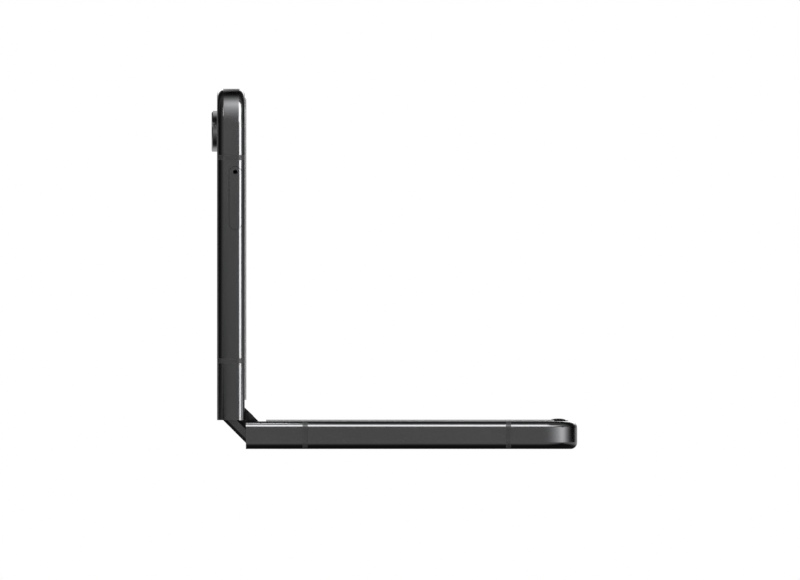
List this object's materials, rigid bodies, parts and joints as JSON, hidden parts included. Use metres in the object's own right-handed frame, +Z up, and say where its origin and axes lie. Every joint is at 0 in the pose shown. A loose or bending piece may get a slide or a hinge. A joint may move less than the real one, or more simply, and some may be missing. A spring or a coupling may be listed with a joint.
{
  "type": "foldable smartphone",
  "caption": "Clamshell phone standing half open on its back: two slim halves on a twin-axis geared hinge, with a folding inner display, cover display and side keys.",
  "frame": {"origin": "centre of the lower half's resting back face", "axes": "+Z up, +X from the hinge to the lower half's free end, +Y towards the side with the keys"},
  "size_m": [0.091, 0.0724, 0.0896],
  "materials": {
    "frame": "satin dark graphite anodised",
    "strip": "dark grey moulded plastic",
    "back_glass": "satin dark tinted glass",
    "cover_glass": "gloss black cover glass",
    "display": "gloss black display, off",
    "rim": "raised grey rim",
    "rubber": "black rubber",
    "battery": "wrapped pouch cell",
    "board": "circuit board",
    "steel": "bare steel",
    "spring": "spring steel",
    "black_plastic": "black moulded plastic",
    "ring": "polished metal ring",
    "lens": "coated lens glass",
    "flash": "pale flash lens",
    "flex": "amber flexible circuit",
    "seal": "rubber seal"
  },
  "bodies": {
    "lower_half": {"lower_frame": "frame", "lower_antenna_strips": "strip", "lower_back_glass": "back_glass", "lower_display": "display", "lower_rim": "rim", "rubber_stops": "rubber", "lower_battery": "battery", "lower_board": "board", "usb_shell": "steel", "usb_tongue": "black_plastic", "loudspeaker": "black_plastic", "vibration_motor": "steel", "lower_rotors": "steel", "lower_rotor_screws": "steel"},
    "spine": {"spine_cover": "frame", "spine_end_caps": "frame", "hinge_bases": "steel", "hinge_shafts": "steel", "hinge_springs": "spring", "edge_strips": "rubber", "display_fold": "display", "hinge_flex": "flex"},
    "lower_gear_arms": {"lower_gear_arms": "steel"},
    "lower_idlers": {"lower_idlers": "steel"},
    "upper_idlers": {"upper_idlers": "steel"},
    "upper_gear_arms": {"upper_gear_arms": "steel"},
    "lower_wings": {"lower_wings": "steel"},
    "upper_wings": {"upper_wings": "steel"},
    "upper_half": {"upper_frame": "frame", "upper_antenna_strips": "strip", "cover_glass": "cover_glass", "cover_display": "display", "camera_rings": "ring", "camera_lenses": "lens", "camera_modules": "black_plastic", "flash_lens": "flash", "upper_display": "display", "upper_rim": "rim", "upper_battery": "battery", "main_board": "board", "chip_shields": "steel", "upper_rotors": "steel", "upper_rotor_screws": "steel", "earpiece": "black_plastic", "selfie_camera": "lens", "card_reader": "steel"},
    "sim_tray": {"sim_tray": "frame", "tray_seal": "seal"},
    "volume_key": {"volume_key": "frame"},
    "power_key": {"power_key": "frame"}
  },
  "joints": [
    {"name": "fold_lower", "type": "hinge", "parent": "lower_half", "child": "spine", "pos_m": [-0.0407, 0, 0.0069], "axis": [0, 1, 0], "range_deg": [-45, 45], "deforming": ["edge_strips", "display_fold", "hinge_flex"]},
    {"name": "fold_upper", "type": "hinge", "parent": "spine", "child": "upper_half", "pos_m": [-0.04148, 0, 0.00768], "axis": [0, 1, 0], "range_deg": [-45, 45]},
    {"name": "lower_arm_turn", "type": "hinge", "parent": "spine", "child": "lower_gear_arms", "pos_m": [-0.04045, 0, 0.00368], "axis": [0, 1, 0], "range_deg": [-45, 45]},
    {"name": "lower_idler_turn", "type": "hinge", "parent": "spine", "child": "lower_idlers", "pos_m": [-0.04187, 0, 0.0051], "axis": [0, 1, 0], "range_deg": [-45, 45]},
    {"name": "upper_idler_turn", "type": "hinge", "parent": "spine", "child": "upper_idlers", "pos_m": [-0.04328, 0, 0.00651], "axis": [0, 1, 0], "range_deg": [-45, 45]},
    {"name": "upper_arm_turn", "type": "hinge", "parent": "spine", "child": "upper_gear_arms", "pos_m": [-0.0447, 0, 0.00793], "axis": [0, 1, 0], "range_deg": [-45, 45]},
    {"name": "lower_wing_dip", "type": "hinge", "parent": "lower_half", "child": "lower_wings", "pos_m": [-0.03465, 0, 0.00617], "axis": [0, -1, 0], "range_deg": [-5, 5]},
    {"name": "upper_wing_dip", "type": "hinge", "parent": "upper_half", "child": "upper_wings", "pos_m": [-0.04221, 0, 0.01373], "axis": [0, 1, 0], "range_deg": [-5, 5]},
    {"name": "tray_slide", "type": "slide", "parent": "upper_half", "child": "sim_tray", "axis": [0, -1, 0], "range_m": [0, 0.026]},
    {"name": "volume_rock", "type": "hinge", "parent": "upper_half", "child": "volume_key", "pos_m": [-0.04493, 0.03335, 0.05913], "axis": [1, 0, 0], "range_deg": [-0.9, 0.9], "stiffness_Nm_per_rad": 0.03},
    {"name": "power_press", "type": "slide", "parent": "upper_half", "child": "power_key", "axis": [0, -1, 0], "range_m": [0, 0.00025], "stiffness_N_per_m": 600}
  ],
  "couplings": [
    {"joint": "fold_upper", "follows": "fold_lower", "ratio": 1},
    {"joint": "lower_arm_turn", "follows": "fold_lower", "ratio": -1},
    {"joint": "lower_idler_turn", "follows": "fold_lower", "ratio": 1},
    {"joint": "upper_idler_turn", "follows": "fold_lower", "ratio": -1},
    {"joint": "upper_arm_turn", "follows": "fold_lower", "ratio": 1},
    {"joint": "lower_wing_dip", "follows": "fold_lower", "ratio": 0.11111},
    {"joint": "upper_wing_dip", "follows": "fold_lower", "ratio": 0.11111}
  ]
}
